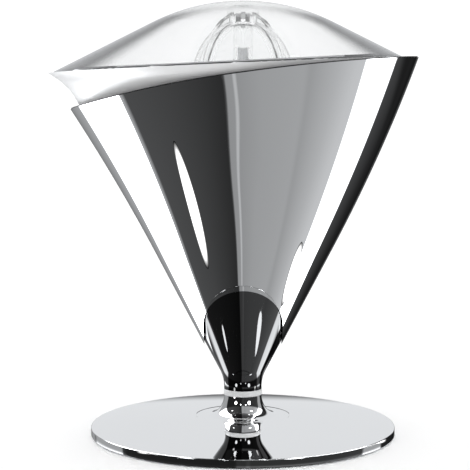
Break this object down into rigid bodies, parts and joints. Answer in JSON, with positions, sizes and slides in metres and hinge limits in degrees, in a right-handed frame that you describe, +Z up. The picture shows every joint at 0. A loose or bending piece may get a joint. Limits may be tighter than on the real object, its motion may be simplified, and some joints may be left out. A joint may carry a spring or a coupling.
{
  "type": "citrus juicer",
  "caption": "Electric citrus press: a leaning mirror-finish metal cone on a stem and disc base, holding a steel juice bowl, a clear ribbed reamer and a clear domed lid.",
  "frame": {"origin": "centre of the base's underside, on the surface it stands on", "axes": "+Z up, -X towards the pouring lip, -Y the front"},
  "size_m": [0.2746, 0.271, 0.3259],
  "materials": {
    "mirror_chrome": "mirror-polished",
    "dark_chrome": "black chrome, mirror-polished",
    "bowl_steel": "satin steel",
    "clear_acrylic": "clear, polished",
    "clear_reamer": "clear, polished",
    "strainer_plastic": "frosted clear",
    "black_plastic": "fine matt",
    "gear_nylon": "natural nylon",
    "plain_steel": "zinc plated",
    "ballast_iron": "rough",
    "brass": "turned",
    "black_rubber": "matt",
    "board_green": "solder resist",
    "grey_plastic": "matt"
  },
  "bodies": {
    "root": {"base_cover": "mirror_chrome", "stem_foot": "mirror_chrome", "neck_ring": "bowl_steel", "stem_core": "dark_chrome", "outer_shell": "mirror_chrome", "bowl_cradle": "black_plastic", "motor_frame": "black_plastic", "gear_case": "black_plastic", "motor_end_cap": "black_plastic", "terminal_block": "black_plastic", "switch_body": "black_plastic", "bottom_plate": "plain_steel", "base_screws": "plain_steel", "tie_tube": "plain_steel", "tie_nuts": "plain_steel", "tie_washers": "plain_steel", "motor_screws": "plain_steel", "case_screws": "plain_steel", "deck_screws": "plain_steel", "cradle_screws": "plain_steel", "standoffs": "plain_steel", "idler_pins": "plain_steel", "motor_can": "plain_steel", "lever_pin": "plain_steel", "return_spring": "plain_steel", "base_ballast": "ballast_iron", "motor_magnets": "ballast_iron", "motor_brushes": "ballast_iron", "motor_bushes": "brass", "lower_bush": "brass", "upper_bush": "brass", "base_pad": "black_rubber", "cord_gland": "black_rubber", "shaft_seal": "black_rubber", "rectifier_board": "board_green", "board_posts": "grey_plastic", "board_diodes": "grey_plastic"},
    "press": {"thrust_collar": "gear_nylon"},
    "drive": {"drive_shaft": "plain_steel", "output_gear": "gear_nylon"},
    "reamer": {"reamer": "clear_reamer"},
    "idler_a": {"idler_gear_a": "gear_nylon"},
    "idler_b": {"idler_gear_b": "gear_nylon"},
    "rotor": {"rotor_shaft": "plain_steel", "rotor_core": "plain_steel", "commutator": "brass", "motor_pinion": "plain_steel"},
    "lever": {"switch_lever": "plain_steel"},
    "bowl": {"juice_bowl": "bowl_steel", "strainer": "strainer_plastic"},
    "lid": {"dome_lid": "clear_acrylic"}
  },
  "joints": [
    {"name": "press_slide", "type": "slide", "parent": "root", "child": "press", "axis": [0, 0, -1], "range_m": [0, 0.0025], "stiffness_N_per_m": 6000, "springref_m": -0.0008, "deforming": ["return_spring"]},
    {"name": "drive_spin", "type": "hinge", "parent": "press", "child": "drive", "pos_m": [0, 0, 0.185], "axis": [0, 0, 1], "continuous": true},
    {"name": "reamer_lift", "type": "slide", "parent": "drive", "child": "reamer", "axis": [0, 0, 1], "range_m": [0, 0.1]},
    {"name": "idler_b_spin", "type": "hinge", "parent": "root", "child": "idler_b", "pos_m": [0.03375, 0, 0.177], "axis": [0, 0, 1], "continuous": true},
    {"name": "idler_a_spin", "type": "hinge", "parent": "root", "child": "idler_a", "pos_m": [0.02906, 0.02659, 0.169], "axis": [0, 0, 1], "continuous": true},
    {"name": "rotor_spin", "type": "hinge", "parent": "root", "child": "rotor", "pos_m": [0.01137, 0.0142, 0.135], "axis": [0, 0, 1], "continuous": true},
    {"name": "lever_swing", "type": "hinge", "parent": "root", "child": "lever", "pos_m": [-0.034, 0, 0.1755], "axis": [0, 1, 0], "range_deg": [0, 6]},
    {"name": "bowl_lift", "type": "slide", "parent": "root", "child": "bowl", "axis": [0, 0, 1], "range_m": [0, 0.1]},
    {"name": "lid_lift", "type": "slide", "parent": "bowl", "child": "lid", "axis": [0, 0, 1], "range_m": [0, 0.08]}
  ],
  "couplings": [
    {"joint": "idler_b_spin", "follows": "drive_spin", "ratio": -4.4},
    {"joint": "idler_a_spin", "follows": "drive_spin", "ratio": 19.36},
    {"joint": "rotor_spin", "follows": "drive_spin", "ratio": -85.184},
    {"joint": "lever_swing", "follows": "press_slide", "rad_per_m": 41.3},
    {"joint": "reamer_lift", "follows": "bowl_lift", "ratio": 1}
  ]
}
